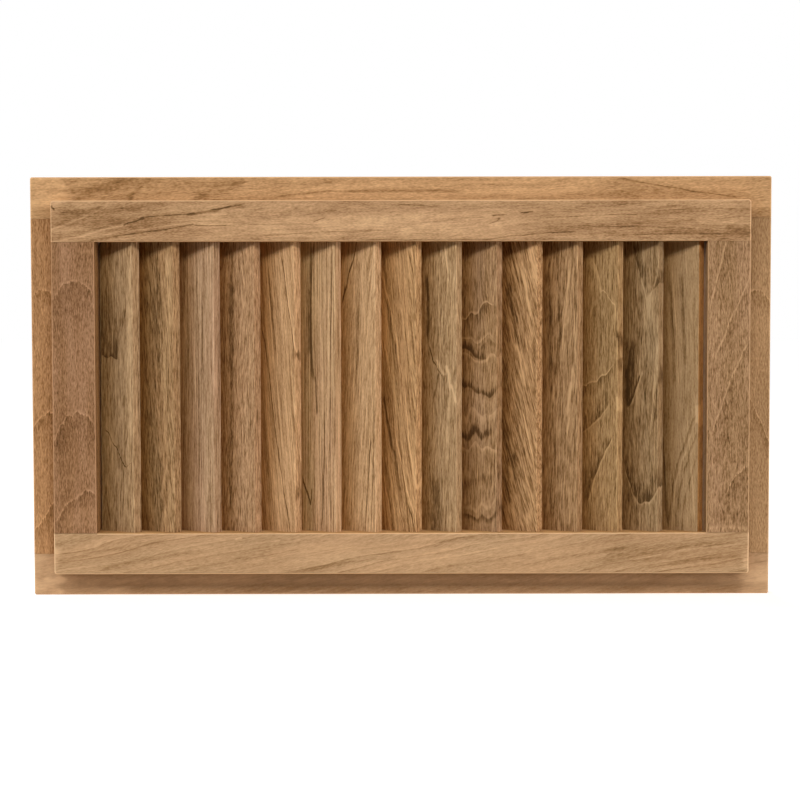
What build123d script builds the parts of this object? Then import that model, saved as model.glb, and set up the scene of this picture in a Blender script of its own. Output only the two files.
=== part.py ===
from build123d import *
import os
from math import cos, radians, sin

# Louvered vent insert: a rabbeted wooden frame around a bank of fixed slanted louvers.
# The panel stands upright. X runs along its width, Z is up, and its front looks along -Y.
# The origin is at the panel's centre, on the plane where its flange seats. Sizes are in mm.

# Frame
PANEL_WIDTH = 381.0
PANEL_HEIGHT = 215.9
FLANGE_THICKNESS = 12.7
RAISE = 12.7  # height of the raised frame over the flange
FLANGE_REVEAL = 12.3  # width of the flange that shows around the raised frame
STILE_FACE = 22.1
RAIL_FACE = 21.1

# Corner joints: a stub tenon on each end of the stiles, in an open mortise in the rails
TENON_LENGTH = 12.0
TENON_THICKNESS = 8.5
TENON_SHOULDER = 6.0  # wood left between the mortise and the opening
JOINT_GAP = 0.12  # glue line on every face of a corner joint

# Louvers
LOUVER_COUNT = 15
LOUVER_WIDTH = 25.4
LOUVER_THICKNESS = 6.0
LOUVER_ANGLE = 35.0  # between a louver and the panel, in degrees
LOUVER_SETBACK = 3.5  # how far the louvers' front corners lie behind the raised face
FIRST_BAY = 22.2  # from the left stile to the front edge of the first louver
STILE_CLEARANCE = 0.5  # between the end louvers and the stiles
SLOT_DEPTH = 6.0
SLOT_CLEARANCE = 0.1  # between a louver and the walls and floor of its slot

# Eased edges and rounded corners
FLANGE_EDGE = 0.8
FLANGE_CORNER = 1.0
RAISED_EDGE = 1.0
RAISED_CORNER = 1.5
OPENING_EDGE = 0.8
LOUVER_EDGE = 0.8

# Sizes that follow from those above
STILE_WIDTH = FLANGE_REVEAL + STILE_FACE
RAIL_WIDTH = FLANGE_REVEAL + RAIL_FACE
RAISED_WIDTH = PANEL_WIDTH - 2 * FLANGE_REVEAL
OPENING_WIDTH = PANEL_WIDTH - 2 * STILE_WIDTH
OPENING_HEIGHT = PANEL_HEIGHT - 2 * RAIL_WIDTH
OPENING_TOP = OPENING_HEIGHT / 2
OPENING_SIDE = OPENING_WIDTH / 2

LOUVER_REACH = LOUVER_WIDTH * cos(radians(LOUVER_ANGLE)) + LOUVER_THICKNESS * sin(radians(LOUVER_ANGLE))
LOUVER_DEPTH = LOUVER_WIDTH * sin(radians(LOUVER_ANGLE)) + LOUVER_THICKNESS * cos(radians(LOUVER_ANGLE))
LOUVER_Y = LOUVER_SETBACK + LOUVER_DEPTH / 2 - RAISE
LOUVER_LENGTH = OPENING_HEIGHT + 2 * (SLOT_DEPTH - SLOT_CLEARANCE)
FIRST_LOUVER_X = FIRST_BAY - LOUVER_REACH / 2 - OPENING_SIDE
LAST_LOUVER_X = OPENING_SIDE - STILE_CLEARANCE - LOUVER_REACH / 2
LOUVER_PITCH = (LAST_LOUVER_X - FIRST_LOUVER_X) / (LOUVER_COUNT - 1)
LOUVER_PLACES = [(FIRST_LOUVER_X + number * LOUVER_PITCH, LOUVER_Y) for number in range(LOUVER_COUNT)]


def louver_sections(places, growth):
    """Draw louver sections, seen from above. Growth is the clearance of a slot around its louver."""
    with Locations(*places):
        RectangleRounded(
            LOUVER_WIDTH + 2 * growth,
            LOUVER_THICKNESS + 2 * growth,
            LOUVER_EDGE + growth,
            rotation=-LOUVER_ANGLE,
        )
    # A louver that would reach into a stile is ripped narrower
    with Locations((0, LOUVER_Y)):
        Rectangle(
            OPENING_WIDTH - 2 * (STILE_CLEARANCE - growth),
            LOUVER_DEPTH + 2 * growth,
            mode=Mode.INTERSECT,
        )


# Top rail: flange layer first, then the raised layer in front of it
with BuildPart() as top_rail:
    with BuildSketch(Plane.XZ) as flange_outline:
        with Locations((0, OPENING_TOP)):
            Rectangle(PANEL_WIDTH, RAIL_WIDTH, align=(Align.CENTER, Align.MIN))
        fillet(flange_outline.vertices().group_by(Axis.Y)[-1], FLANGE_CORNER)
    extrude(amount=-FLANGE_THICKNESS)
    flange_rims = top_rail.faces().filter_by(Axis.Y).edges()
    fillet(flange_rims.filter_by(lambda edge: edge.center().Z > OPENING_TOP), FLANGE_EDGE)

    with BuildSketch(Plane.XZ) as raised_outline:
        with Locations((0, OPENING_TOP)):
            Rectangle(RAISED_WIDTH, RAIL_FACE, align=(Align.CENTER, Align.MIN))
        fillet(raised_outline.vertices().group_by(Axis.Y)[-1], RAISED_CORNER)
    extrude(amount=RAISE)
    raised_rim = top_rail.faces().sort_by(Axis.Y)[0].edges()
    fillet(raised_rim.filter_by(lambda edge: edge.center().Z > OPENING_TOP), RAISED_EDGE)

    # The edges towards the opening are eased only between the stiles
    with BuildSketch(Plane.YZ):
        with Locations((-RAISE, OPENING_TOP), (FLANGE_THICKNESS, OPENING_TOP)):
            Rectangle(2 * OPENING_EDGE, 2 * OPENING_EDGE)
        eased_z = OPENING_TOP + OPENING_EDGE
        with Locations((OPENING_EDGE - RAISE, eased_z), (FLANGE_THICKNESS - OPENING_EDGE, eased_z)):
            Circle(OPENING_EDGE, mode=Mode.SUBTRACT)
    extrude(amount=OPENING_SIDE, both=True, mode=Mode.SUBTRACT)

    # Mortises for the stiles' tenons, open at the rail's ends
    with BuildSketch(Plane.XY.offset(OPENING_TOP)):
        Rectangle(PANEL_WIDTH, TENON_THICKNESS + 2 * JOINT_GAP)
        Rectangle(
            OPENING_WIDTH + 2 * (TENON_SHOULDER - JOINT_GAP),
            TENON_THICKNESS + 2 * JOINT_GAP,
            mode=Mode.SUBTRACT,
        )
    extrude(amount=TENON_LENGTH + JOINT_GAP, mode=Mode.SUBTRACT)

    # Blind slots for the louvers
    with BuildSketch(Plane.XY.offset(OPENING_TOP)):
        louver_sections(LOUVER_PLACES, SLOT_CLEARANCE)
    extrude(amount=SLOT_DEPTH, mode=Mode.SUBTRACT)
top_rail.part.label = "top_rail"

with BuildPart() as bottom_rail:
    mirror(top_rail.part, about=Plane.XY)
bottom_rail.part.label = "bottom_rail"

# Left stile: the flange layer with the back half of its tenons, then the raised layer with the front half
SHOULDER_SPAN = OPENING_HEIGHT - 2 * JOINT_GAP
TENON_SPAN = OPENING_HEIGHT + 2 * TENON_LENGTH
with BuildPart() as left_stile:
    with BuildSketch(Plane.XZ):
        with Locations((-PANEL_WIDTH / 2, 0)):
            Rectangle(STILE_WIDTH, SHOULDER_SPAN, align=(Align.MIN, Align.CENTER))
    extrude(amount=-FLANGE_THICKNESS)
    with BuildSketch(Plane.XZ):
        with Locations((-PANEL_WIDTH / 2, 0)):
            Rectangle(STILE_WIDTH - TENON_SHOULDER, TENON_SPAN, align=(Align.MIN, Align.CENTER))
    extrude(amount=-TENON_THICKNESS / 2)
    flange_rims = left_stile.faces().filter_by(Axis.Y).edges().filter_by(Axis.Z)
    fillet(flange_rims.group_by(Axis.X)[0], FLANGE_EDGE)

    with BuildSketch(Plane.XZ):
        with Locations((-RAISED_WIDTH / 2, 0)):
            Rectangle(STILE_FACE, SHOULDER_SPAN, align=(Align.MIN, Align.CENTER))
    extrude(amount=RAISE)
    with BuildSketch(Plane.XZ):
        with Locations((-RAISED_WIDTH / 2, 0)):
            Rectangle(STILE_FACE - TENON_SHOULDER, TENON_SPAN, align=(Align.MIN, Align.CENTER))
    extrude(amount=TENON_THICKNESS / 2)

    long_edges = left_stile.edges().filter_by(Axis.Z)
    raised_rim = long_edges.group_by(Axis.Y)[0].sort_by(Axis.X)
    fillet(raised_rim[0], RAISED_EDGE)
    opening_edges = left_stile.edges().filter_by(Axis.Z).group_by(Axis.X)[-1].sort_by(Axis.Y)
    fillet([opening_edges[0], opening_edges[-1]], OPENING_EDGE)
left_stile.part.label = "left_stile"

with BuildPart() as right_stile:
    mirror(left_stile.part, about=Plane.YZ)
right_stile.part.label = "right_stile"

# Louvers, from left to right, with both ends in their slots
louvers = []
for number, place in enumerate(LOUVER_PLACES, start=1):
    with BuildPart() as louver:
        with BuildSketch(Plane.XY):
            louver_sections([place], 0)
        extrude(amount=LOUVER_LENGTH / 2, both=True)
    louver.part.label = f"louver_{number:02d}"
    louvers.append(louver.part)

os.makedirs("parts", exist_ok=True)
for piece in [top_rail.part, bottom_rail.part, left_stile.part, right_stile.part, *louvers]:
    export_step(piece, f"parts/{piece.label}.step")
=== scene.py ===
from math import cos, radians, sin, tan

import bpy
from mathutils import Matrix, Vector


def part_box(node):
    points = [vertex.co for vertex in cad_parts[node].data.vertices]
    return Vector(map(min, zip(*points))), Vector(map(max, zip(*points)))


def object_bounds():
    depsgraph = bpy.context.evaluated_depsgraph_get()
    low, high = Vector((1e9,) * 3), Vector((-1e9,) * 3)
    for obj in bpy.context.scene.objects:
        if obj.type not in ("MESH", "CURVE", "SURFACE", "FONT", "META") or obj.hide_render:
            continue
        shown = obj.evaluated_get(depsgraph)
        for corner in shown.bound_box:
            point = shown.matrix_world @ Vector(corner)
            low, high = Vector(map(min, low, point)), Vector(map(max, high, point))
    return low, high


# Looks of the louvered vent insert: bare teak, one board for each CAD node, under soft studio light.
# Blender works in metres. Inside the materials, a board's own lengths are in millimetres.

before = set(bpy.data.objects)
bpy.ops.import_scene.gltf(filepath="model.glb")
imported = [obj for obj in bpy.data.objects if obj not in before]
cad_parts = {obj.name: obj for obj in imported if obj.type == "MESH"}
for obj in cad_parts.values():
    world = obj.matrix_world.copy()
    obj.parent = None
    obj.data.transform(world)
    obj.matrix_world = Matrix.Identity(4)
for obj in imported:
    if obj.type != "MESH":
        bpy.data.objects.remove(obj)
cad_low, cad_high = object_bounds()
scene = bpy.context.scene
scene.view_settings.view_transform = "Standard"

MM = 1000  # millimetres in a metre
WHITE = (1, 1, 1, 1)
X_AXIS = Vector((1, 0, 0))
Y_AXIS = Vector((0, 1, 0))
Z_AXIS = Vector((0, 0, 1))


# Node helpers

def put(tree, socket, value):
    """Link a socket, or set it to a plain value."""
    if isinstance(value, bpy.types.NodeSocket):
        tree.links.new(value, socket)
    else:
        socket.default_value = value


def calc(tree, operation, first, second=0.0, third=0.0):
    """One Math node. Gives its output."""
    node = tree.nodes.new("ShaderNodeMath")
    node.operation = operation
    for socket, value in zip(node.inputs, (first, second, third)):
        put(tree, socket, value)
    return node.outputs[0]


def add_up(tree, *values):
    """The sum of several values."""
    total = values[0]
    for value in values[1:]:
        total = calc(tree, "ADD", total, value)
    return total


def fit(tree, value, low_from, high_from, low_to, high_to, smooth=False):
    """One Map Range node, clamped."""
    node = tree.nodes.new("ShaderNodeMapRange")
    node.interpolation_type = "SMOOTHSTEP" if smooth else "LINEAR"
    put(tree, node.inputs["Value"], value)
    put(tree, node.inputs["From Min"], low_from)
    put(tree, node.inputs["From Max"], high_from)
    put(tree, node.inputs["To Min"], low_to)
    put(tree, node.inputs["To Max"], high_to)
    return node.outputs["Result"]


def combine(tree, x, y, z):
    """A vector from three values."""
    node = tree.nodes.new("ShaderNodeCombineXYZ")
    for socket, value in zip(node.inputs, (x, y, z)):
        put(tree, socket, value)
    return node.outputs[0]


def dot(tree, vector, direction):
    """How far a vector goes along a direction."""
    node = tree.nodes.new("ShaderNodeVectorMath")
    node.operation = "DOT_PRODUCT"
    put(tree, node.inputs[0], vector)
    node.inputs[1].default_value = direction
    return node.outputs["Value"]


def noise(tree, vector, sizes, shift, detail=2.0, roughness=0.5):
    """Noise with lumps of the given sizes in mm, as a value about 0."""
    scaled = tree.nodes.new("ShaderNodeVectorMath")
    scaled.operation = "MULTIPLY_ADD"
    put(tree, scaled.inputs[0], vector)
    scaled.inputs[1].default_value = [1 / size for size in sizes]
    # A shift moves the noise by a different length along each axis
    scaled.inputs[2].default_value = (shift, 2.3 * shift, -1.7 * shift)
    node = tree.nodes.new("ShaderNodeTexNoise")
    node.inputs["Scale"].default_value = 1.0
    node.inputs["Detail"].default_value = detail
    node.inputs["Roughness"].default_value = roughness
    put(tree, node.inputs["Vector"], scaled.outputs[0])
    return calc(tree, "SUBTRACT", node.outputs[0], 0.5)


def ramp(tree, value, stops):
    """A colour ramp from stops of (place, colour)."""
    node = tree.nodes.new("ShaderNodeValToRGB")
    elements = node.color_ramp.elements
    while len(elements) < len(stops):
        elements.new(0.5)
    for element, (place, colour) in zip(elements, stops):
        element.position = place
        element.color = (*colour, 1)
    put(tree, node.inputs[0], value)
    return node.outputs[0]


def mix(tree, amount, first, second):
    """Mix two colours."""
    node = tree.nodes.new("ShaderNodeMix")
    node.data_type = "RGBA"
    put(tree, node.inputs[0], amount)
    # The node's sockets for colours come after those for plain values and vectors
    for socket, value in ((node.inputs[6], first), (node.inputs[7], second)):
        put(tree, socket, value if isinstance(value, bpy.types.NodeSocket) else (*value, 1))
    return node.outputs[2]


def multiply(tree, colour, factor):
    """A colour with each of its channels multiplied."""
    node = tree.nodes.new("ShaderNodeVectorMath")
    node.operation = "MULTIPLY"
    put(tree, node.inputs[0], colour)
    node.inputs[1].default_value = factor
    return node.outputs[0]


def shade(colour, level, warmth):
    """A colour written as 0-255 screen values, made linear, with its level and warmth changed.

    Warmth raises red by its own share, and lowers blue by half as much again.
    """
    made = []
    for part, turn in zip(colour, (warmth, 0.0, -1.5 * warmth)):
        value = part / 255
        # The screen's standard curve
        value = value / 12.92 if value <= 0.04045 else ((value + 0.055) / 1.055) ** 2.4
        made.append(min(1.0, value * level * (1 + turn)))
    return made


# Marks in the grain: streaks and the edges of growth rings, drawn along the board or across it. Some broad
# streaks on the rails are painted light and shade instead

STREAK_INPUTS = (
    "Run", "Side", "Run Start", "Side Start", "Run End", "Side End",
    "Bow", "Below", "Above", "Tone",
)
# A streak fades over these parts of its length, outside its ends and inside them
FADE_OUTSIDE = 0.04
FADE_INSIDE = 0.10


def make_streak_group():
    """A group that draws one streak from start to end, bowed in the middle, with a width on each side."""
    group = bpy.data.node_groups.new("grain streak", "ShaderNodeTree")
    for name in STREAK_INPUTS:
        group.interface.new_socket(name, in_out="INPUT", socket_type="NodeSocketFloat")
    group.interface.new_socket("Tone", in_out="OUTPUT", socket_type="NodeSocketFloat")
    given = group.nodes.new("NodeGroupInput").outputs
    result = group.nodes.new("NodeGroupOutput")

    run = calc(group, "SUBTRACT", given["Run"], given["Run Start"])
    length = calc(group, "SUBTRACT", given["Run End"], given["Run Start"])
    part = calc(group, "DIVIDE", run, length)
    rise = calc(group, "SUBTRACT", given["Side End"], given["Side Start"])
    straight = calc(group, "MULTIPLY_ADD", rise, part, given["Side Start"])
    # The arch is a quarter at the streak's middle, where the bow is whole
    arch = calc(group, "MULTIPLY", part, calc(group, "SUBTRACT", 1.0, part))
    bowed = calc(group, "MULTIPLY_ADD", arch, calc(group, "MULTIPLY", given["Bow"], 4.0), straight)
    away = calc(group, "SUBTRACT", given["Side"], bowed)
    above = calc(group, "DIVIDE", calc(group, "MAXIMUM", away, 0.0), given["Above"])
    other_way = calc(group, "MULTIPLY", away, -1.0)
    below = calc(group, "DIVIDE", calc(group, "MAXIMUM", other_way, 0.0), given["Below"])
    body = fit(group, calc(group, "ADD", above, below), 0.0, 1.0, 1.0, 0.0, smooth=True)
    start = fit(group, part, -FADE_OUTSIDE, FADE_INSIDE, 0.0, 1.0, smooth=True)
    end = fit(group, part, 1 - FADE_INSIDE, 1 + FADE_OUTSIDE, 1.0, 0.0, smooth=True)
    drawn = calc(group, "MULTIPLY", body, calc(group, "MULTIPLY", start, end))
    put(group, result.inputs[0], calc(group, "MULTIPLY", drawn, given["Tone"]))
    return group


STREAK = make_streak_group()


def line(start, end, tone, bow, below, above, over=False):
    """A streak along the board. Points are (along, across) in mm; a negative tone is dark."""
    return {
        "start": start, "end": end, "tone": tone, "bow": bow, "below": below, "above": above, "over": over,
    }


def arc(start, end, tone, bow, below, above):
    """A streak across the board, where a growth ring turns over. Points are (along, across) in mm."""
    return line(start, end, tone, bow, below, above, over=True)


def ring_edge(start, end, bow, tone, spread):
    """Where one growth ring ends and the next begins: a pale line over a dark one that fades downwards."""
    pale = arc(start, end, 1.4 * tone, bow, below=0.4, above=1.3)
    dark = arc(start, end, -0.6 * tone, bow, below=spread, above=0.3)
    return [pale, dark]


def draw_marks(tree, along, across, marks):
    """The summed tone of a board's marks."""
    total = 0.0
    for mark in marks:
        node = tree.nodes.new("ShaderNodeGroup")
        node.node_tree = STREAK
        run, side = (across, along) if mark["over"] else (along, across)
        run_place, side_place = (1, 0) if mark["over"] else (0, 1)
        put(tree, node.inputs["Run"], run)
        put(tree, node.inputs["Side"], side)
        node.inputs["Run Start"].default_value = mark["start"][run_place]
        node.inputs["Side Start"].default_value = mark["start"][side_place]
        node.inputs["Run End"].default_value = mark["end"][run_place]
        node.inputs["Side End"].default_value = mark["end"][side_place]
        node.inputs["Bow"].default_value = mark["bow"]
        node.inputs["Below"].default_value = mark["below"]
        node.inputs["Above"].default_value = mark["above"]
        node.inputs["Tone"].default_value = mark["tone"]
        total = calc(tree, "ADD", node.outputs[0], total)
    return total


# Teak. Sizes are in mm, along the grain, across the face and into the board. Tones run from 0, the darkest
# lines, to 1, the palest flecks.

# What a board is like where its own look doesn't say otherwise
PLAIN_TEAK = {
    "wander": 6.0,  # how far the grain wanders across the board
    "fibre": (38, 1.5, 1.5), "fibres": 0.55,
    "fleck": (7.0, 0.60, 0.60),
    "pore": (9, 0.8, 0.8), "pores": 0.12,
    "grit": 0.40,
    "cloud_size": (60, 9, 9), "clouds": 0.30,
    "teeth": 4.0, "sway": 9.0, "sway_size": (14, 3.2, 3.2),  # how the edges of marks follow the wood
    "bold": 1.0,  # how strong the marks are
    "edge_wear_and_highlight": 0.70,  # how pale the eased edges are, as wear and painted highlight
}
WOOD_STOPS = (  # place on the ramp, level and warmth
    (0.0, 0.24, 0.16),
    (0.26, 0.58, 0.10),
    (0.5, 1.0, 0.0),
    (0.74, 1.36, -0.03),
    (1.0, 1.75, -0.06),
)
WANDER_SIZE = (90, 16, 16)
WAVER_SIZE = (9, 2.5, 2.5)
GRIT_SIZE = (1.5, 0.5, 0.5)  # the finest pits between the fibres
BREAK_SIZE = (7, 4, 4)
PORE_LEVELS = (0.14, 0.24)  # of the noise, where a pore begins and where it is open
BREAK_LEVELS = (-0.22, 0.16)  # of the noise, where marks are weakest and where they are strongest
WEAKEST_MARK = 0.55
STRONGEST_MARK = 1.25
RING_TILT = 0.45  # how far a ring moves across for each mm into the board
RING_UNEVENNESS = 1.8
RING_LUMP = (2.2, 1, 1)
RING_SEED = 7.3  # gives each board its own strong and weak rings
WEAKEST_RING = 0.15  # against the strongest
RING_FADE = 0.45  # half the change of tone from a ring's start to its dark edge
RING_EDGE = (0.80, 0.97)  # the parts of a ring where its dark edge begins and is full
RING_EDGE_TONE = -0.7
FACE_DEPTH = -11.5  # just behind the raised face, counted from the front of the flange
RABBET_DEPTH = -1.0  # just before the front of the flange
RABBET_RINGS = 0.3  # share of the rings that shows in the rabbet
RABBET_FLECKS = 0.7
EDGE_FACING = (0.97, 0.80)  # how squarely a surface faces an axis, where it is flat and where it is an edge
SIDE_FACING = (0.70, 0.98)
END_FACING = (0.75, 0.98)
END_TONE = -0.16
CORNER_SHADE_START = 0.5  # the painted shade begins this far inside the raised frame's outline
CORNER_SHADE_REACH = 6.0
CORNER_SHADE_FRONT = (-3.0, -1.0)  # depths where the painted shade begins and is full
CORNER_SHADE_BACK = (3.0, 6.0)  # depths where it fades and ends
CORNER_SHADE_TONE = -0.16
HUE_WANDER = 0.6  # how much the hue follows the grain's wandering
HUE_LEVELS = (-0.16, 0.16)
DEEP_SHADE_SPAN = (-9.0, 5.0)  # across a louver's face, where the painted deep shade is full and where it is gone
ROUGHNESS_TONES = (0.2, 0.8)
DARK_ROUGHNESS = 0.90
PALE_ROUGHNESS = 0.76
GLOSS = 0.10
FIBRE_RELIEF = 0.5
PORE_RELIEF = -0.6
GRAIN_RELIEF = 0.00025  # in metres
GRAIN_STRENGTH = 0.35


def wood_ramp(tree, tone, mid):
    """The colours of one wood, from its dark lines to its palest flecks."""
    return ramp(tree, tone, [(place, shade(mid, level, warmth)) for place, level, warmth in WOOD_STOPS])


def teak(name, axes, look):
    """Bare teak, sawn so that the board's grain runs along the first of its axes."""
    along_axis, across_axis, into_axis, origin = axes
    look = {**PLAIN_TEAK, **look}
    seed = look["seed"]
    material = bpy.data.materials.new(name)
    material.use_nodes = True
    tree = material.node_tree
    shader = tree.nodes["Principled BSDF"]

    # The board's own lengths in mm: along the grain, across its face and into its depth
    place = tree.nodes.new("ShaderNodeTexCoord").outputs["Object"]
    lengths = []
    for axis in (along_axis, across_axis, into_axis):
        lengths.append(calc(tree, "SUBTRACT", dot(tree, place, axis * MM), origin.dot(axis) * MM))
    along, across, into = lengths

    # Grain that leans and wanders. Each noise is shifted by the board's seed and a number of its own
    board = combine(tree, along, across, into)
    wander = noise(tree, board, WANDER_SIZE, seed, detail=1.0)
    waver = noise(tree, board, WAVER_SIZE, seed + 3, detail=2.0)
    lean = calc(tree, "MULTIPLY", along, -look["lean"])
    drift = calc(tree, "MULTIPLY", wander, look["wander"])
    grain_across = add_up(tree, across, lean, drift)
    grain = combine(tree, along, grain_across, into)

    # The rabbet shows less of the rings and flecks than the raised face
    ring_strength = look["rings"]
    fleck_strength = look["flecks"]
    if "rabbet" in look:
        depths = (FACE_DEPTH, RABBET_DEPTH)
        ring_strength = fit(tree, into, *depths, ring_strength, RABBET_RINGS * ring_strength)
        fleck_strength = fit(tree, into, *depths, fleck_strength, RABBET_FLECKS * fleck_strength)

    # Growth rings: each darkens slowly towards its edge and starts pale again
    straight = calc(tree, "MULTIPLY_ADD", into, RING_TILT, grain_across)
    ragged = calc(tree, "MULTIPLY_ADD", waver, look["rag"], straight)
    even = calc(tree, "DIVIDE", ragged, look["ring"])
    uneven = noise(tree, combine(tree, even, 0.0, 0.0), RING_LUMP, seed + 5, detail=0.0)
    ring_place = calc(tree, "MULTIPLY_ADD", uneven, RING_UNEVENNESS, even)
    ring_part = calc(tree, "FRACT", ring_place)
    ring_number = calc(tree, "FLOOR", ring_place)
    chance = tree.nodes.new("ShaderNodeTexWhiteNoise")
    chance.noise_dimensions = "1D"
    put(tree, chance.inputs["W"], calc(tree, "ADD", ring_number, seed * RING_SEED))
    strength = fit(tree, chance.outputs["Value"], 0.0, 1.0, WEAKEST_RING, 1.0)
    fade = fit(tree, ring_part, 0.0, RING_EDGE[0], RING_FADE, -RING_FADE)
    edge = fit(tree, ring_part, *RING_EDGE, 0.0, RING_EDGE_TONE, smooth=True)
    rings = calc(tree, "MULTIPLY", calc(tree, "ADD", fade, edge), strength)
    rings = calc(tree, "MULTIPLY", rings, ring_strength)

    # Fibres, flecks, open pores, grit and clouds, all drawn out along the grain
    fibre_noise = noise(tree, grain, look["fibre"], seed + 11, 3.0, 0.6)
    fibres = calc(tree, "MULTIPLY", fibre_noise, look["fibres"])
    fleck_noise = noise(tree, grain, look["fleck"], seed + 17, 2.0, 0.7)
    flecks = calc(tree, "MULTIPLY", fleck_noise, fleck_strength)
    pore_noise = noise(tree, grain, look["pore"], seed + 23, 1.0)
    pores = fit(tree, pore_noise, *PORE_LEVELS, 0.0, 1.0, smooth=True)
    pore_tone = calc(tree, "MULTIPLY", pores, -look["pores"])
    grit_noise = noise(tree, grain, GRIT_SIZE, seed + 53, 0.0)
    grit = calc(tree, "MULTIPLY", grit_noise, look["grit"])
    cloud = noise(tree, grain, look["cloud_size"], seed + 31, 2.0)
    clouds = calc(tree, "MULTIPLY", cloud, look["clouds"])

    # Marks that this board shows, with edges that follow the fibres, stronger in some places than in others
    mark_across = calc(tree, "MULTIPLY_ADD", waver, look["rag"], across)
    teeth = calc(tree, "MULTIPLY", fleck_noise, look["teeth"])
    sway_noise = noise(tree, board, look["sway_size"], seed + 47, detail=0.5)
    sway = calc(tree, "MULTIPLY", sway_noise, look["sway"])
    mark_along = add_up(tree, along, teeth, sway)
    marks = draw_marks(tree, mark_along, mark_across, look["marks"])
    weak, strong = WEAKEST_MARK * look["bold"], STRONGEST_MARK * look["bold"]
    break_noise = noise(tree, board, BREAK_SIZE, seed + 41, 1.0)
    marks = calc(tree, "MULTIPLY", marks, fit(tree, break_noise, *BREAK_LEVELS, weak, strong))

    # Eased edges are made pale, partly as wear and partly as a painted highlight, and end grain is dark
    normal = tree.nodes.new("ShaderNodeNewGeometry").outputs["Normal"]
    facing = []
    for axis in (along_axis, across_axis, into_axis):
        facing.append(calc(tree, "ABSOLUTE", dot(tree, normal, axis)))
    flat = calc(tree, "MAXIMUM", calc(tree, "MAXIMUM", facing[0], facing[1]), facing[2])
    edge_wear_and_highlight_mask = fit(tree, flat, *EDGE_FACING, 0.0, 1.0, smooth=True)
    end_grain = fit(tree, facing[0], *END_FACING, 0.0, 1.0, smooth=True)
    edge_wear_and_highlight_tone = calc(tree, "MULTIPLY", edge_wear_and_highlight_mask, look["edge_wear_and_highlight"])
    end_tone = calc(tree, "MULTIPLY", end_grain, END_TONE)

    tone = add_up(tree, 0.5, rings, fibres, flecks, grit, pore_tone, clouds, marks, edge_wear_and_highlight_tone, end_tone)

    # Painted shade on the flange, in the corner under the raised frame
    if "corner" in look:
        out = calc(tree, "SUBTRACT", calc(tree, "ABSOLUTE", across), look["corner"])
        inside = fit(tree, out, -CORNER_SHADE_START, 0.0, 0.0, 1.0)
        outside = fit(tree, out, 0.0, CORNER_SHADE_REACH, 1.0, 0.0)
        before = fit(tree, into, *CORNER_SHADE_FRONT, 0.0, 1.0)
        behind = fit(tree, into, *CORNER_SHADE_BACK, 1.0, 0.0)
        near = calc(tree, "MULTIPLY", inside, outside)
        painted_corner_shade = calc(tree, "MULTIPLY", near, calc(tree, "MULTIPLY", before, behind))
        tone = calc(tree, "MULTIPLY_ADD", painted_corner_shade, CORNER_SHADE_TONE, tone)

    # Colour by tone, with a second hue that comes and goes along the board
    hue_noise = calc(tree, "ADD", cloud, calc(tree, "MULTIPLY", wander, HUE_WANDER))
    hue = fit(tree, hue_noise, *HUE_LEVELS, 0.0, 1.0)
    colour = mix(tree, hue, wood_ramp(tree, tone, look["mid"]), wood_ramp(tree, tone, look["second"]))

    # The wood in the rabbet, behind the raised face, has a hue of its own
    if "rabbet" in look:
        cut = fit(tree, into, FACE_DEPTH, RABBET_DEPTH, 0.0, 1.0)
        colour = mix(tree, cut, colour, wood_ramp(tree, tone, look["rabbet"]))

    # The sides of a board get another hue than its faces: a side-grain hue, made darker on the stiles as
    # painted shade, and paler on the rails as painted light
    side = fit(tree, facing[1], *SIDE_FACING, 0.0, 1.0, smooth=True)
    colour = mix(tree, side, colour, multiply(tree, colour, look["side"]))

    # Painted light: the last louver's front edge, which lies in the stile's shadow, is made warmer and
    # paler than its face
    if "front" in look:
        front = fit(tree, dot(tree, normal, across_axis), *SIDE_FACING, 0.0, 1.0, smooth=True)
        colour = mix(tree, front, colour, multiply(tree, colour, look["front"]))

    # Painted shade: deep in the bank, towards its hidden back edge, a louver is darker and warmer
    if "painted_deep_shade" in look:
        deep_shade_share = fit(tree, across, *DEEP_SHADE_SPAN, 1.0, 0.0, smooth=True)
        colour = mix(tree, deep_shade_share, colour, multiply(tree, colour, look["painted_deep_shade"]))

    put(tree, shader.inputs["Base Color"], colour)
    roughness = fit(tree, tone, *ROUGHNESS_TONES, DARK_ROUGHNESS, PALE_ROUGHNESS)
    put(tree, shader.inputs["Roughness"], roughness)
    shader.inputs["Specular IOR Level"].default_value = GLOSS

    # Open grain
    soft_fibres = calc(tree, "MULTIPLY", fibres, FIBRE_RELIEF)
    pits = calc(tree, "MULTIPLY", pores, PORE_RELIEF)
    bump = tree.nodes.new("ShaderNodeBump")
    bump.inputs["Strength"].default_value = GRAIN_STRENGTH
    bump.inputs["Distance"].default_value = GRAIN_RELIEF
    put(tree, bump.inputs["Height"], add_up(tree, soft_fibres, flecks, pits))
    put(tree, shader.inputs["Normal"], bump.outputs[0])
    return material


def dress(node_name, axes, look):
    """Give a CAD node its board's own teak."""
    material = teak(f"teak {node_name}", axes, look)
    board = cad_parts[node_name]
    for slot in board.material_slots:
        slot.material = material


# Rails. Their points are (distance to the right, height) from the panel's middle

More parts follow.
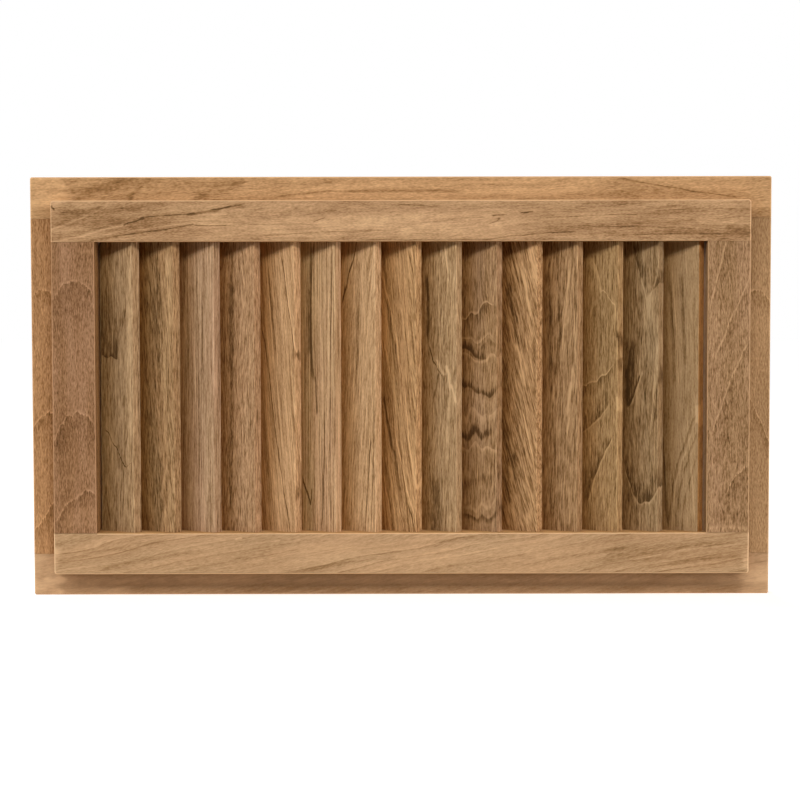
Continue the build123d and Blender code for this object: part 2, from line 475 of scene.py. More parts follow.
RAIL_AXES = (X_AXIS, Z_AXIS, Y_AXIS, Vector())
# The rails' sides are paler and warmer: a side-grain hue with painted light
top_look = {
    "seed": 2.0, "mid": (173, 134, 96), "second": (176, 138, 99), "rabbet": (184, 142, 98),
    "side": (1.05, 0.97, 0.76), "lean": 0.05, "wander": 8.0, "ring": 8.0, "rings": 0.035,
    "fibre": (30, 1.0, 1.0), "fibres": 0.44, "fleck": (3.6, 0.7, 0.7), "flecks": 0.74, "bold": 1.06,
    "pore": (9, 0.7, 0.7), "pores": 0.12, "cloud_size": (45, 6, 6), "clouds": 0.60, "rag": 0.7,
    "teeth": 3.0,
    "marks": [
        line((-179, 80.2), (-148, 93.4), 0.20, -0.6, 0.6, 0.6),
        line((-179, 81.2), (-150, 94.0), -0.10, -0.6, 0.4, 5.0),
        line((-172, 80.0), (-158, 84.0), 0.10, 0.0, 3.2, 3.2),
        line((-179, 74.0), (-137, 84.4), 0.18, -0.3, 0.7, 0.5),
        line((-179, 75.0), (-140, 84.6), -0.12, -0.3, 0.4, 2.6),
        line((-142, 82.8), (-129.5, 87.2), -0.50, 0.2, 0.7, 0.6),
        line((-131, 87.0), (-104, 88.7), -0.34, 0.2, 0.5, 0.5),
        line((-110, 88.4), (-91, 90.6), -0.40, 0.0, 1.5, 1.0),
        line((-97, 90.8), (-78, 93.6), -0.50, 0.0, 0.9, 0.6),
        line((-168, 73.6), (-144, 77.6), -0.24, 0.3, 1.8, 1.2),
        line((-146, 77.4), (-118, 81.0), -0.42, 0.2, 0.6, 0.5),
        line((-150, 78.2), (-104, 84.6), 0.14, 0.0, 0.5, 0.7),
        line((-120, 80.8), (-105, 83.8), -0.46, 0.2, 0.8, 0.5),
        line((-106, 83.2), (-88, 82.8), -0.46, -0.3, 0.6, 0.5),
        line((-92, 82.8), (-46, 83.4), -0.26, 0.2, 0.4, 0.4),
        line((-138, 73.6), (-128, 78.0), 0.16, 0.0, 0.5, 0.5),
        line((-72, 77.6), (-3, 80.3), -0.26, 0.5, 0.5, 0.4),
        line((-20, 75.6), (46, 75.6), -0.32, -0.3, 0.6, 0.6),
        line((44, 75.6), (90, 79.4), -0.30, 0.8, 0.6, 0.5),
        line((-1, 93.4), (22, 92.0), -0.28, 0.0, 0.5, 0.4),
        line((10, 83.6), (42, 86.8), -0.26, 0.4, 0.7, 0.5),
        line((44, 83.0), (53, 87.0), -0.42, 0.4, 0.6, 0.5),
        line((48, 87.6), (54, 88.2), -0.55, 0.0, 0.6, 0.5),
        line((59, 89.0), (66, 89.7), -0.55, 0.0, 0.6, 0.5),
        line((-46, 84.4), (-40, 87.0), -0.36, 0.0, 0.5, 0.5),
        line((76, 86.5), (120, 88.2), -0.22, 0.3, 0.5, 0.5),
        line((96, 82.0), (150, 81.0), -0.24, 0.3, 0.5, 0.5),
        line((110, 77.6), (168, 78.2), -0.30, 0.3, 0.5, 0.5),
        line((130, 90.0), (172, 91.0), -0.20, 0.3, 0.5, 0.5),
        line((150, 84.2), (174, 84.6), 0.12, 0.0, 3.0, 3.0),
        line((166, 80.0), (179, 80.5), -0.14, 0.0, 4.0, 4.0),
        line((-170, 95.6), (-136, 106.0), -0.22, 0.8, 5.0, 6.0),
        line((-140, 95.0), (-128, 109.0), -0.16, 0.6, 3.0, 7.0),
        line((-108, 97.0), (-80, 106.0), -0.20, -0.6, 4.0, 5.0),
        line((-66, 97.6), (-34, 101.2), -0.24, 0.0, 1.4, 0.8),
        line((-32, 100.4), (36, 100.2), -0.26, 0.4, 1.4, 1.0),
        line((30, 104.0), (80, 103.0), -0.14, 0.4, 1.4, 1.0),
        line((112, 107.4), (174, 96.8), -0.26, -0.6, 0.8, 0.7),
        line((-178.6, 93.4), (-174.5, 90.8), -0.55, 0.0, 1.0, 0.8),
        # Broad painted light: paler in the middle and darker towards the ends, where the light falls off to
        # the sides; then paler at the top left corner
        line((-120, 83.0), (70, 83.0), 0.12, 0.0, 14.0, 16.0),
        line((-70, 84.0), (60, 84.0), 0.12, 0.0, 12.0, 14.0),
        line((60, 79.0), (200, 79.0), -0.10, 0.0, 9.0, 12.0),
        line((-190, 88.0), (-100, 88.0), -0.12, 0.0, 14.0, 8.0),
        line((-60, 103.0), (110, 103.0), 0.12, 0.0, 8.0, 8.0),
        line((-204, 100.0), (-172, 100.0), 0.20, 0.0, 30.0, 30.0),
    ],
}
bottom_look = {
    "seed": 11.0, "mid": (182, 147, 109), "second": (178, 141, 103), "rabbet": (167, 131, 95),
    "side": (1.10, 0.99, 0.72), "lean": 0.19, "wander": 8.0, "ring": 5.5, "rings": 0.16,
    "fibre": (30, 1.1, 1.1), "fibres": 0.34, "grit": 0.18, "fleck": (3.4, 0.7, 0.7), "flecks": 0.50,
    "pore": (6, 0.7, 0.7), "pores": 0.06, "clouds": 0.36, "rag": 0.7, "teeth": 3.0,
    "marks": [
        line((-179, -89.4), (-118, -77.0), -0.14, 0.8, 3.0, 0.8),
        line((-158, -94.0), (-100, -82.8), -0.13, 0.8, 2.8, 0.8),
        line((-112, -94.0), (-64, -84.0), -0.08, 0.8, 2.6, 0.8),
        line((-50, -93.8), (-1, -86.4), -0.14, 0.8, 2.6, 0.8),
        line((-24, -84.0), (42, -76.0), -0.10, 0.8, 2.6, 0.8),
        line((12, -94.0), (64, -85.0), -0.10, 0.8, 2.4, 0.8),
        line((58, -92.0), (120, -81.6), -0.11, 0.8, 2.6, 0.8),
        line((120, -88.4), (177, -79.6), 0.16, 0.6, 1.2, 0.8),
        line((126, -92.4), (174, -86.6), -0.13, 0.6, 1.8, 0.8),
        line((140, -83.0), (176, -77.0), -0.10, 0.4, 1.4, 0.8),
        line((-86, -77.6), (-82, -77.0), 0.24, 0.0, 0.8, 0.8),
        line((-64, -78.6), (-61, -78.2), 0.22, 0.0, 0.8, 0.8),
        # Broad painted light: darker towards the right end and paler in the middle
        line((100, -84.0), (215, -84.0), -0.12, 0.0, 14.0, 14.0),
        line((-60, -84.0), (90, -84.0), 0.08, 0.0, 14.0, 14.0),
        # Painted light in the raised frame's shadow on the flange, and painted shade along the flange's lit
        # outer edge; then paler at the flange's two ends
        line((-196, -100.7), (196, -100.7), 0.22, 0.0, 2.8, 4.5),
        line((-196, -106.0), (196, -106.0), -0.10, 0.0, 2.6, 3.0),
        line((-204, -97.0), (-176, -97.0), 0.34, 0.0, 40.0, 30.0),
        line((-200, -104.0), (-140, -104.0), 0.16, 0.0, 8.0, 4.0),
        line((176, -97.0), (204, -97.0), 0.34, 0.0, 40.0, 30.0),
    ],
}
dress("top_rail", RAIL_AXES, top_look)
dress("bottom_rail", RAIL_AXES, bottom_look)

# Stiles. Their points are (height, distance to the right) from the panel's middle

STILE_AXES = (Z_AXIS, X_AXIS, Y_AXIS, Vector())
# The stiles' sides are much darker: a side-grain hue with painted shade
STILE_TEAK = {
    "side": (0.66, 0.61, 0.48), "bold": 1.5, "sway": 5.0, "lean": 0.0, "wander": 5.0, "ring": 9.0,
    "rings": 0.03, "fibre": (30, 1.3, 1.3), "fibres": 0.30, "fleck": (3.4, 0.52, 0.52),
    "flecks": 1.60, "pore": (4, 0.8, 0.8),
}
left_look = {
    **STILE_TEAK,
    # corner: painted shade on the left flange beside the raised frame
    "seed": 21.0, "corner": 178.2, "mid": (146, 107, 73), "second": (153, 114, 82),
    "rabbet": (182, 136, 92), "pores": 0.08, "clouds": 0.30, "rag": 0.8,
    "marks": [
        *ring_edge((43.5, -178), (47.5, -157), 8.8, 0.18, 34.0),
        *ring_edge((-27.5, -178), (-19.0, -156.5), 10.5, 0.18, 26.0),
        *ring_edge((-70.5, -178), (-55.0, -156.5), 7.0, 0.18, 12.0),
        arc((-66.0, -178), (-66.0, -156), 0.06, 0.0, 10.0, 12.0),
        *ring_edge((46.0, -190.5), (50.0, -178.2), 1.0, 0.12, 10.0),
        *ring_edge((-21.0, -190.5), (-12.0, -178.2), 1.5, 0.15, 14.0),
        *ring_edge((-74.0, -190.5), (-55.5, -178.2), -2.0, 0.15, 14.0),
    ],
}
right_look = {
    **STILE_TEAK,
    "seed": 33.0, "mid": (154, 119, 83), "second": (157, 121, 87), "rabbet": (172, 134, 94),
    "pores": 0.10, "clouds": 0.36, "rag": 0.7,
    "marks": [
        line((80, 166.4), (40, 156.8), 0.26, 0.3, 0.4, 0.8),
        line((80, 167.4), (40, 157.8), -0.06, 0.3, 0.4, 5.0),
        line((60, 179.8), (16, 160.6), 0.28, -0.6, 0.4, 0.8),
        line((60, 180.8), (16, 161.6), -0.06, -0.6, 0.4, 6.0),
        line((30, 180.0), (-26, 158.0), 0.26, -1.2, 0.4, 0.8),
        line((30, 181.0), (-26, 159.0), -0.06, -1.2, 0.4, 6.0),
        *ring_edge((-56.0, 166), (-40.0, 178), 3.0, 0.18, 16.0),
        arc((-64.0, 158), (-66.0, 178), -0.10, 0.0, 6.0, 4.0),
        arc((-72.0, 157), (-72.0, 178), 0.14, 0.0, 1.6, 1.6),
        *ring_edge((49.0, 177.6), (42.0, 191.0), 4.0, 0.18, 14.0),
        *ring_edge((-4.0, 177.6), (-32.0, 191.0), 3.0, 0.18, 14.0),
    ],
}
dress("left_stile", STILE_AXES, left_look)
dress("right_stile", STILE_AXES, right_look)

# Louvers, from left to right. Their points are (height, distance from the middle of the face towards
# its front edge)

louver_looks = [
    {
        "mid": (169, 136, 98), "second": (165, 133, 96), "flecks": 1.68, "painted_deep_shade": (1.0, 0.95, 0.72),
        "sway": 4.0, "teeth": 1.0, "lean": 0.02, "ring": 6.0, "rings": 0.08, "fibres": 0.80,
        "fibre": (30, 1.0, 1.0),
        "marks": [
            line((70, 11.5), (-30, 10.8), 0.18, 0.0, 3.0, 1.6),
            line((40, 8.4), (16, 1.8), -0.22, 0.0, 4.5, 0.5),
            arc((16.4, -9), (15.2, 2.6), -0.18, 0.0, 0.5, 44.0),
            arc((16.4, -9), (15.2, 2.6), -0.16, 0.0, 0.5, 3.0),
            line((-21, -7.0), (-41.6, 7.5), -0.42, 0.4, 0.5, 0.5),
            line((-41.6, 7.4), (-39.0, 11.0), -0.30, 0.0, 0.4, 0.4),
            line((-58, -6.5), (-72, -3.0), -0.26, 0.0, 0.8, 0.5),
        ],
    },
    {
        "mid": (163, 130, 91), "second": (160, 124, 85), "painted_deep_shade": (0.71, 0.57, 0.33), "lean": -0.06,
        "ring": 6.0, "rings": 0.10, "flecks": 2.09,
        "marks": [
            line((78, 3.2), (-78, 3.8), -0.10, -0.6, 12.0, 4.0),
            line((60, 5.0), (-20, 6.0), 0.10, 0.8, 0.6, 3.5),
            line((55, -3.0), (30, 3.0), -0.18, 0.0, 0.7, 0.7),
            line((68, 8.0), (28, 11.0), 0.16, 0.0, 1.2, 5.0),
            line((64, 3.0), (26, 8.0), -0.16, 0.0, 4.0, 0.5),
            line((-40, 10.0), (-72, 2.0), -0.16, 0.0, 2.0, 2.0),
        ],
    },
    {
        "mid": (174, 141, 107), "second": (171, 136, 104), "lean": 0.0, "ring": 4.0, "rings": 0.14,
        "flecks": 1.01, "wander": 3.0, "fibres": 1.40, "fibre": (40, 1.0, 1.0),
        "marks": [
            line((70, 6.5), (-20, 4.0), -0.16, 0.0, 0.7, 0.5),
            line((0, 8.5), (-72, 8.0), 0.14, 0.0, 0.6, 0.6),
            line((10, 3.2), (-72, 2.2), -0.16, 0.0, 1.2, 0.6),
        ],
    },
    {
        "mid": (174, 137, 100), "second": (169, 131, 94), "lean": 0.02, "ring": 8.0, "rings": 0.04,
        "flecks": 1.82, "fleck": (5.5, 0.62, 0.62),
        "marks": [
            line((70, -1.5), (-70, -3.0), -0.20, 0.0, 2.6, 2.2),
            line((40, 14.2), (-70, 14.0), -0.10, 0.0, 1.0, 1.0),
        ],
    },
    {
        "mid": (191, 151, 109), "second": (187, 147, 104), "lean": -0.09, "ring": 5.0, "rings": 0.10,
        "flecks": 0.94, "wander": 3.0, "fibres": 1.40, "fibre": (50, 1.0, 1.0),
        "marks": [
            line((68, 4.4), (-2, 15.0), -0.36, 0.6, 0.5, 0.5),
            line((66, 5.6), (0, 14.6), 0.16, 0.6, 0.5, 0.9),
            line((32, -8.5), (2, -3.0), -0.34, 0.4, 0.5, 0.5),
            line((2, -3.2), (-76, 9.8), -0.36, -0.8, 0.5, 0.5),
            line((62, -4.5), (14, 1.0), -0.18, 0.4, 1.4, 0.8),
            line((40, -1.0), (8, 2.0), 0.16, 0.3, 0.5, 0.5),
            line((10, 8.5), (-60, 13.0), -0.14, 0.0, 0.6, 0.6),
        ],
    },
    {
        "mid": (186, 148, 110), "second": (183, 148, 108), "painted_deep_shade": (0.98, 0.96, 0.77), "lean": 0.0,
        "ring": 3.6, "rings": 0.10, "flecks": 0.74, "wander": 2.0, "fibres": 1.90,
        "fibre": (70, 1.0, 1.0),
        "marks": [
            line((72, -0.4), (2, -0.2), -0.34, -2.2, 3.0, 0.5),
            line((74, 11.3), (-72, 9.4), -0.34, -0.6, 0.5, 0.5),
            line((4, 0.4), (-14, 1.2), -0.5, 0.0, 0.5, 0.5),
            line((-46, -8.2), (-62, -3.2), -0.6, 0.5, 0.7, 0.6),
            line((-54, -2.4), (-62, -3.2), -0.45, 0.0, 0.5, 0.5),
            line((-12, 6.2), (-74, 4.0), -0.30, 0.4, 0.6, 0.5),
            line((30, 8.6), (-74, 7.8), 0.12, 0.0, 0.6, 0.6),
            line((74, 4.6), (0, 4.2), -0.16, 0.0, 0.4, 0.4),
        ],
    },
    {
        "mid": (196, 158, 116), "second": (190, 152, 110), "lean": 0.06, "ring": 7.0, "rings": 0.08,
        "flecks": 1.12, "fibres": 0.90, "fibre": (30, 1.0, 1.0),
        "marks": [
            line((74, 1.2), (41, -8.2), -0.5, -0.4, 0.7, 0.7),
            line((-24, 10.0), (-76, 5.8), -0.34, 0.0, 0.6, 0.6),
            line((70, 3.0), (-10, 2.0), -0.14, 0.0, 3.4, 0.6),
            line((0, 12.0), (-60, 10.5), -0.18, 0.4, 0.5, 0.5),
        ],
    },
    {
        "mid": (183, 144, 99), "second": (176, 135, 91), "lean": -0.13, "ring": 6.0, "rings": 0.10,
        "flecks": 1.40, "fibres": 1.50, "fibre": (36, 1.0, 1.0),
        "marks": [
            line((58, -8.0), (-2, 5.4), 0.24, 0.9, 0.5, 0.7),
            line((58, -9.4), (-2, 4.0), -0.14, 0.9, 2.0, 0.4),
            line((29, -8.4), (2, -2.6), 0.22, 0.4, 0.5, 0.6),
            line((0, 5.4), (-54, 13.4), 0.34, -1.0, 0.6, 0.9),
            line((-24, -0.4), (-68, 12.2), 0.26, -0.4, 0.5, 0.7),
            line((-5, -7.4), (-34, -2.2), -0.42, 0.3, 1.2, 0.7),
            line((-30, -1.0), (-58, 4.0), -0.26, 0.0, 2.0, 0.7),
            line((-45, -8.0), (-69, -2.6), 0.24, 0.3, 0.5, 0.6),
            line((-42, -3.0), (-75, 6.0), 0.24, -0.3, 0.5, 0.6),
            line((-60, 8.0), (-76, 13.0), -0.34, 0.0, 0.7, 0.6),
            line((72, 8.0), (56, 12.0), -0.24, 0.0, 0.8, 0.7),
        ],
    },
    {
        "mid": (175, 142, 102), "second": (168, 136, 98), "lean": 0.0, "ring": 8.0, "rings": 0.07,
        "flecks": 1.64, "fibres": 0.70, "fibre": (24, 1.0, 1.0),
        "marks": [
            line((72, 5.4), (54, 8.0), 0.44, 0.5, 0.8, 1.0),
            line((58, -5.4), (24, -5.0), -0.44, 1.2, 2.0, 0.8),
            line((26, -5.0), (12, -1.3), -0.36, 0.0, 0.5, 0.9),
            line((14, -1.4), (4, 4.0), -0.38, 0.0, 0.6, 0.5),
            line((15, -0.2), (5, 5.0), 0.26, 0.0, 0.4, 2.6),
            line((11, 6.4), (0, 8.8), 0.46, 0.3, 1.2, 1.6),
            line((3, 9.4), (-8, 12.3), 0.40, 0.0, 0.7, 1.2),
            line((6, 2.0), (-10, -2.0), -0.22, 0.0, 1.2, 1.0),
            line((-4, 8.6), (-40, 7.0), 0.16, 0.0, 2.0, 2.0),
            line((-46, 0.0), (-76, 1.0), -0.20, 0.0, 6.0, 6.0),
            line((74, 14.4), (-74, 14.4), -0.14, 0.0, 1.4, 1.4),
        ],
    },
    {
        "mid": (161, 125, 86), "second": (157, 123, 89), "teeth": 0.6, "sway": 13.0,
        "sway_size": (30, 6.0, 6.0), "bold": 1.40, "lean": 0.0, "ring": 9.0, "rings": 0.03,
        "flecks": 1.93,
        "marks": [
            *ring_edge((36.5, -9), (45.0, 11), -3.0, 0.24, 9.0),
            line((46, 10.4), (62, 13.2), 0.20, -0.4, 0.6, 0.8),
            arc((24.6, -9), (24.0, 11.0), 0.22, 0.8, 0.5, 1.6),
            arc((22.0, -9), (21.0, 12.0), -0.14, 0.8, 3.0, 1.2),
            arc((18.4, -9.5), (16.6, 6.4), -0.40, 1.6, 1.2, 3.4),
            arc((15.4, -9), (15.0, 13.0), 0.24, 1.2, 1.8, 0.6),
            arc((0.4, -9.5), (-0.6, 13.0), -0.36, -2.6, 1.4, 3.8),
            arc((-3.2, -9.5), (-3.6, 13.0), 0.10, -2.6, 4.0, 1.0),
            arc((-13.4, -9), (-12.0, 13.0), 0.26, -1.4, 5.0, 1.2),
            arc((-25.0, -9.5), (-23.5, 10.0), -0.38, -0.8, 2.4, 5.0),
            arc((-33.0, -9.5), (-34.4, 13.0), 0.24, 3.0, 2.4, 0.6),
            arc((-48.0, -9.5), (-46.0, 12.0), -0.14, -1.6, 5.0, 3.0),
            arc((-63.0, -9), (-58.0, 12.8), 0.22, -1.6, 1.6, 2.2),
            arc((-67.5, -8), (-64.6, 12.8), -0.28, -1.0, 3.0, 1.4),
            line((70, 13.4), (-74, 13.0), -0.16, 0.0, 1.0, 1.6),
        ],
    },
    {
        "mid": (177, 138, 95), "second": (171, 131, 89), "lean": -0.28, "ring": 5.0, "rings": 0.08,
        "flecks": 2.13, "fleck": (8.0, 0.85, 0.85), "pores": 0.10, "fibres": 0.80,
        "fibre": (20, 1.1, 1.1),
        "marks": [
            line((56, 6.0), (20, 9.6), 0.14, 0.0, 1.4, 1.4),
            line((-14, 4.6), (-46, 12.0), 0.32, 0.6, 0.8, 1.0),
            line((70, -6.0), (-70, -6.0), -0.10, 0.0, 3.0, 4.0),
            line((66, 3.0), (34, 9.0), 0.26, 0.0, 1.2, 1.6),
            line((76, 8.0), (54, 12.0), 0.34, 0.0, 3.0, 2.0),
            line((24, 0.0), (0, 6.0), 0.38, 0.0, 1.4, 1.6),
            line((52, -4.0), (20, 2.0), -0.26, 0.0, 2.0, 2.0),
            line((-30, -4.0), (-66, 6.0), -0.24, 0.0, 2.0, 1.8),
        ],
    },
    {
        "mid": (164, 128, 89), "second": (158, 123, 85), "lean": 0.04, "ring": 6.0, "rings": 0.08,
        "flecks": 1.98, "fleck": (8.0, 0.80, 0.80), "pores": 0.10, "fibres": 0.80,
        "fibre": (20, 1.1, 1.1),
        "marks": [
            line((66, 8.0), (18, 3.0), 0.36, 0.4, 0.7, 1.4),
            line((62, 5.6), (4, 0.4), -0.16, 0.4, 3.0, 0.4),
            line((10, 10.0), (-14, 7.0), 0.44, 0.0, 1.0, 1.2),
            line((-14, 8.4), (-22, 6.4), 0.28, 0.0, 0.9, 0.9),
            line((4, -1.0), (-14, -3.0), 0.24, 0.0, 0.8, 0.8),
            line((60, -4.0), (-10, -2.0), -0.16, 0.0, 3.0, 1.4),
            line((40, 10.6), (10, 12.0), 0.26, 0.0, 0.8, 0.8),
        ],
    },
    {
        "mid": (162, 129, 87), "second": (165, 129, 86), "sway": 4.0, "teeth": 1.5, "lean": 0.0,
        "ring": 9.0, "rings": 0.04, "flecks": 1.82, "fibres": 0.70, "fibre": (24, 1.0, 1.0),
        "marks": [
            line((66, -2.4), (49, 3.4), 0.24, 0.6, 3.0, 0.5),
            line((50, 3.0), (42, 10.9), 0.26, 0.6, 0.7, 0.6),
            line((44, 10.9), (28, 10.6), 0.24, 0.3, 0.6, 0.6),
            line((30, 11.8), (8, 13.0), -0.30, 0.6, 0.9, 0.9),
            line((25, 12.2), (14, 12.4), 0.22, 0.0, 0.9, 0.9),
            line((-5, 12.2), (-13, 12.4), 0.22, 0.0, 0.9, 0.9),
            *ring_edge((0.6, -8.0), (9.8, 9.9), -1.8, 0.24, 7.0),
            arc((-24.5, -8.4), (-8.0, 7.9), -0.21, -2.0, 0.5, 12.0),
            arc((-24.5, -8.4), (-8.0, 7.9), 0.24, -2.0, 1.6, 0.4),
            line((-60, -4.8), (-25, 10.4), -0.22, -1.6, 8.0, 0.4),
            line((-60, -4.4), (-25, 10.8), 0.22, -1.6, 0.4, 1.4),
        ],
    },
    {
        "mid": (152, 121, 84), "second": (149, 121, 86), "sway": 5.0, "teeth": 1.5, "lean": 0.0,
        "ring": 9.0, "rings": 0.05, "flecks": 1.89, "fibres": 0.70, "fibre": (24, 1.0, 1.0),
        "marks": [
            line((74, -2.0), (46, 7.0), -0.22, -1.4, 0.5, 4.6),
            line((60, 14.6), (46, 7.0), -0.24, 1.4, 4.4, 0.5),
            line((52, 8.0), (30, 6.0), 0.28, 0.0, 4.5, 4.5),
            line((56, 3.0), (44, 6.6), 0.30, -0.6, 0.6, 0.8),
            line((58, 11.6), (44, 7.4), 0.30, 0.6, 0.8, 0.6),
            line((28, 13.9), (-4, 11.4), 0.22, 0.0, 1.8, 0.5),
            line((24, -3.0), (-10, -4.2), -0.22, 0.0, 5.0, 5.0),
            line((12, -6.0), (-10, -4.2), -0.28, 0.0, 2.0, 2.6),
            line((6, 2.9), (-10, -4.2), -0.46, 0.3, 2.0, 0.4),
            line((8, 3.8), (-10, -3.4), 0.34, 0.3, 0.4, 1.4),
            line((4, 4.6), (-18, 6.6), -0.24, 0.0, 0.8, 0.8),
            line((26, 12.0), (-22, 8.4), 0.32, 0.6, 0.8, 0.5),
            line((22, 13.0), (-20, 10.0), -0.18, 0.6, 0.4, 1.2),
            line((14, 2.6), (-20, -1.0), 0.14, 0.0, 1.4, 2.0),
            arc((-42.0, -6.2), (-60.0, 2.0), -0.26, -3.0, 0.4, 16.0),
            arc((-60.0, 1.4), (-58.5, 8.6), -0.26, -1.0, 0.4, 18.0),
            arc((-42.0, -6.2), (-60.0, 2.0), 0.22, -3.0, 3.4, 0.9),
            arc((-60.0, 1.4), (-58.5, 8.6), 0.22, -1.0, 1.6, 0.4),
            arc((-59.0, 7.6), (-49.0, 14.0), 0.24, -1.5, 2.4, 0.6),
            arc((-59.0, 7.6), (-49.0, 14.0), -0.26, -1.5, 0.4, 14.0),
        ],
    },
    {
        # painted light on its front edge, which lies in the right stile's shadow
        "mid": (170, 138, 99), "second": (166, 134, 96), "front": (1.70, 1.38, 0.92),
        "painted_deep_shade": (0.88, 0.76, 0.54), "lean": -0.03, "ring": 6.0, "rings": 0.08, "flecks": 0.86,
        "marks": [
            line((62, -3.0), (-2, 1.2), 0.24, 0.8, 0.5, 0.5),
            line((60, -4.4), (0, -0.6), -0.20, 0.8, 2.4, 0.5),
            line((60, 2.6), (10, 5.4), -0.16, 0.0, 1.8, 1.6),
            line((-8, 12.0), (-20, 12.0), 0.26, 0.0, 1.6, 1.6),
            line((-22, -8.2), (-76, -4.2), -0.26, 0.0, 1.6, 1.0),
            line((-14, 5.6), (-72, 11.4), 0.12, 0.6, 0.6, 0.6),
            line((-10, 2.0), (-70, 6.4), -0.08, 0.6, 0.6, 0.6),
            line((-14, 12.0), (-74, -4.0), -0.18, -3.6, 0.7, 1.4),
            line((-18, 12.0), (-75, -2.2), 0.14, -3.4, 0.5, 0.8),
            line((-24, 12.4), (-76, 0.0), -0.16, -3.0, 0.7, 1.4),
            line((-36, 12.6), (-77, 4.0), -0.14, -2.6, 0.7, 1.4),
        ],
    },
]
LOUVER_SLANT = radians(35.0)  # between a louver and the panel, as in the CAD model
# A louver's face runs from its hidden back edge to its front edge, and its depth from the face to the back
LOUVER_ACROSS = Vector((cos(LOUVER_SLANT), -sin(LOUVER_SLANT), 0))
LOUVER_INTO = Vector((sin(LOUVER_SLANT), cos(LOUVER_SLANT), 0))
LOUVER_TEAK = {
    # Louvers: little pale wear and painted highlight on their eased edges, and painted shade deep in the
    # bank
    "edge_wear_and_highlight": 0.10, "rag": 0.7, "bold": 1.5, "teeth": 2.5, "grit": 0.25, "side": (0.98, 0.94, 0.93),
    "painted_deep_shade": (0.83, 0.69, 0.45),
}
LOUVER_SEED = 40.0
LOUVER_SEED_STEP = 6.7

# The front edges are all whole, so each louver is placed by its front edge, the ripped first one too
whole_low, whole_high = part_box("louver_02")
half_reach = (whole_high[0] - whole_low[0]) / 2
bank_middle = (whole_low[1] + whole_high[1]) / 2
for number, look in enumerate(louver_looks, start=1):
    louver = f"louver_{number:02d}"
    front_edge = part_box(louver)[1][0]
    middle = Vector((front_edge - half_reach, bank_middle, 0))
    seed = LOUVER_SEED + LOUVER_SEED_STEP * number
    dress(louver, (Z_AXIS, LOUVER_ACROSS, LOUVER_INTO, middle), {**LOUVER_TEAK, **look, "seed": seed})

# Camera, at the photograph's place

CAMERA_PLACE = Vector((-0.00070, -1.11106, 0.05975))
CAMERA_PITCH = radians(3.437)  # downwards
CAMERA_YAW = radians(0.005)
CAMERA_ROLL = radians(-0.106)
SENSOR_WIDTH = 36.0
LENS = 96.96
flat_view = sin(CAMERA_YAW) * X_AXIS + cos(CAMERA_YAW) * Y_AXIS
view = cos(CAMERA_PITCH) * flat_view - sin(CAMERA_PITCH) * Z_AXIS
level_right = Vector((cos(CAMERA_YAW), -sin(CAMERA_YAW), 0))
level_up = level_right.cross(view)
camera_right = cos(CAMERA_ROLL) * level_right + sin(CAMERA_ROLL) * level_up
camera_up = cos(CAMERA_ROLL) * level_up - sin(CAMERA_ROLL) * level_right
camera_turn = Matrix((camera_right, camera_up, -view)).transposed()
camera_data = bpy.data.cameras.new("camera")
camera_data.sensor_width = SENSOR_WIDTH
camera_data.lens = LENS
camera = bpy.data.objects.new("camera", camera_data)
scene.collection.objects.link(camera)
camera.matrix_world = Matrix.Translation(CAMERA_PLACE) @ camera_turn.to_4x4()
scene.camera = camera

# Lamps, all at one distance from the panel's middle

LAMP_DISTANCE = 1.4


def hang_lamp(name, power, away, turn):
    """An area lamp in the direction away from the panel's middle. Gives its data, for its size."""
    lamp_data = bpy.data.lights.new(name, "AREA")
    lamp_data.energy = power
    lamp = bpy.data.objects.new(name, lamp_data)
    scene.collection.objects.link(lamp)
    lamp.matrix_world = Matrix.Translation(away * LAMP_DISTANCE) @ turn.to_4x4()
    return lamp_data


def add_square_lamp(name, turn, rise, size, power):
    """A square lamp aimed at the panel's middle. Turn is counted from the front towards the right."""
    away = cos(rise) * (sin(turn) * X_AXIS - cos(turn) * Y_AXIS) + sin(rise) * Z_AXIS
    hang_lamp(name, power, away, away.to_track_quat("Z", "Y").to_matrix()).size = size


# Key light: a long bank of lamps over the front, bent round the panel, so that shadows are crisp under
# the rails and soft beside the louvers
KEY_RISE = radians(34.6)
KEY_STEP = radians(35.0)
KEY_LENGTH = 2 * LAMP_DISTANCE * tan(KEY_STEP / 2)
KEY_HEIGHT = 0.28
KEY_POWER = 5.5
KEY_STRENGTHS = (1.0, 1.1, 1.2, 0.7, 1.0)  # from the left
bank_up = Vector((0, sin(KEY_RISE), cos(KEY_RISE)))
bank_front = Vector((0, -cos(KEY_RISE), sin(KEY_RISE)))
for place, strength in enumerate(KEY_STRENGTHS, start=-(len(KEY_STRENGTHS) // 2)):
    away = sin(place * KEY_STEP) * X_AXIS + cos(place * KEY_STEP) * bank_front
    turn = Matrix((bank_up.cross(away), bank_up, away)).transposed()
    key_data = hang_lamp("key", KEY_POWER * strength, away, turn)
    key_data.shape = "RECTANGLE"
    key_data.size = KEY_LENGTH
    key_data.size_y = KEY_HEIGHT

# A fill from low on the right, which the louvers' own slant keeps out of the recesses, and a lamp
# for the back
add_square_lamp("fill", radians(65.0), radians(-4.0), 0.5, 7.0)
add_square_lamp("back", radians(200.0), radians(35.0), 0.9, 16.0)


# White room: it lights the object weakly, and is white where it is seen

def seen_directly(tree):
    """1 for rays that show the room itself, and 0 for rays that only bring its light."""
    path = tree.nodes.new("ShaderNodeLightPath").outputs
    seen = calc(tree, "MAXIMUM", path["Is Camera Ray"], path["Is Glossy Ray"])
    return calc(tree, "MAXIMUM", seen, path["Is Transmission Ray"])


ROOM_FILL = 0.010
room = bpy.data.worlds.new("room")
scene.world = room
room.use_nodes = True
room_tree = room.node_tree
background = room_tree.nodes["Background"]
background.inputs["Color"].default_value = WHITE
put(room_tree, background.inputs["Strength"], fit(room_tree, seen_directly(room_tree), 0, 1, ROOM_FILL, 1))

# Floor: a white sheet under the object, on a warmer floor

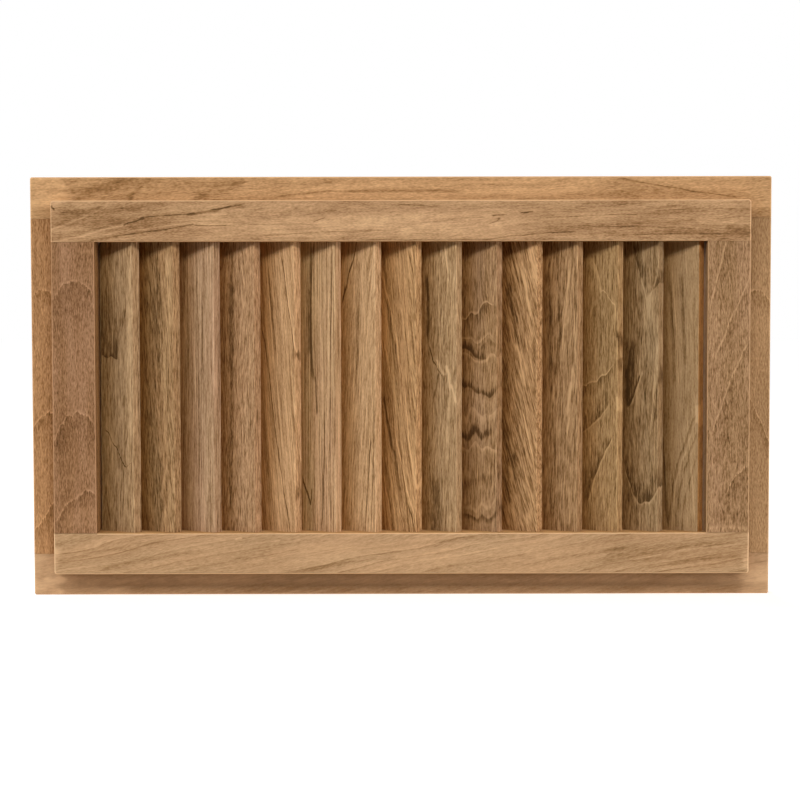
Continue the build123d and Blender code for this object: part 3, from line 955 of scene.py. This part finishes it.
FLOOR_SIZE = 8.0
SHADOW_REACH = 0.6
SHEET_REACH = 0.09
SHEET_COLOUR = (0.92, 0.90, 0.86)
FLOOR_COLOUR = (0.18, 0.15, 0.11)
FLOOR_ROUGHNESS = 0.9
# What the floor gives to the eye besides the light on it, so that it is white where it is lit
SHEET_GLOW = 0.45
FLOOR_GLOW = 0.95
half = FLOOR_SIZE / 2
outline = ((-half, -half), (half, -half), (half, half), (-half, half))
floor_mesh = bpy.data.meshes.new("floor")
floor_mesh.from_pydata([(x, y, cad_low[2]) for x, y in outline], [], [(0, 1, 2, 3)])
floor = bpy.data.objects.new("floor", floor_mesh)
scene.collection.objects.link(floor)
floor_material = bpy.data.materials.new("floor")
floor_material.use_nodes = True
floor_tree = floor_material.node_tree
floor_shader = floor_tree.nodes["Principled BSDF"]
floor_shader.inputs["Roughness"].default_value = FLOOR_ROUGHNESS
floor_shader.inputs["Specular IOR Level"].default_value = 0.0
floor_shader.inputs["Emission Color"].default_value = WHITE
floor_place = floor_tree.nodes.new("ShaderNodeTexCoord").outputs["Object"]
ahead = calc(floor_tree, "ABSOLUTE", dot(floor_tree, floor_place, Y_AXIS))
off_sheet = fit(floor_tree, ahead, SHEET_REACH, 2 * SHEET_REACH, 0.0, 1.0, smooth=True)
put(floor_tree, floor_shader.inputs["Base Color"], mix(floor_tree, off_sheet, SHEET_COLOUR, FLOOR_COLOUR))
# The floor shows the object's shadow near it, and fades to the white of the room further off
distance_node = floor_tree.nodes.new("ShaderNodeVectorMath")
distance_node.operation = "LENGTH"
put(floor_tree, distance_node.inputs[0], floor_place)
distance = distance_node.outputs["Value"]
near_glow = fit(floor_tree, off_sheet, 0.0, 1.0, SHEET_GLOW, FLOOR_GLOW)
glow = fit(floor_tree, distance, SHADOW_REACH / 3, SHADOW_REACH, near_glow, 1.0, smooth=True)
seen_glow = calc(floor_tree, "MULTIPLY", seen_directly(floor_tree), glow)
put(floor_tree, floor_shader.inputs["Emission Strength"], seen_glow)
floor_mesh.materials.append(floor_material)
